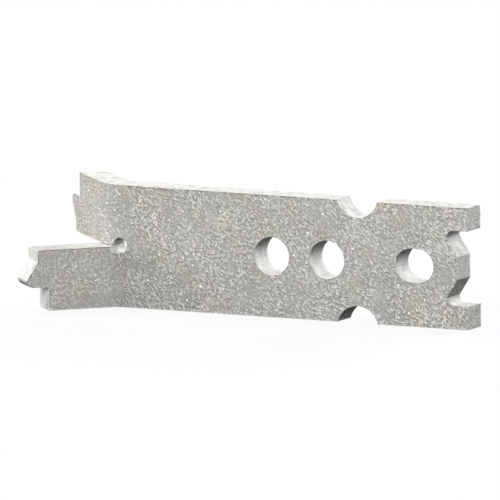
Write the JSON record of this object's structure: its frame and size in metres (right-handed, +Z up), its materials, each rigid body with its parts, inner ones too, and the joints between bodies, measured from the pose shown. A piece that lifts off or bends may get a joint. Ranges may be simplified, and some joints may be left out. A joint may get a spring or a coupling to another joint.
{
  "type": "split-foot plate lifting anchor for precast concrete",
  "caption": "Flat-bar lifting anchor: pronged head with an oblong eye, round holes and edge notches, and a split foot whose legs bend to opposite sides.",
  "frame": {"origin": "middle of the overall length, on the bar's mid-plane, at its bottom edge, which the anchor stands on", "axes": "+X along the bar to the head, +Y the side that the upper leg bends to, +Z up across the bar's width"},
  "size_m": [0.253, 0.0876, 0.065],
  "materials": {
    "zinc_coated_steel": "hot-dip galvanised, dull and grainy on the rolled faces, smoother on the cut ends"
  },
  "bodies": {
    "root": {"anchor_bar": "zinc_coated_steel"}
  },
  "joints": []
}
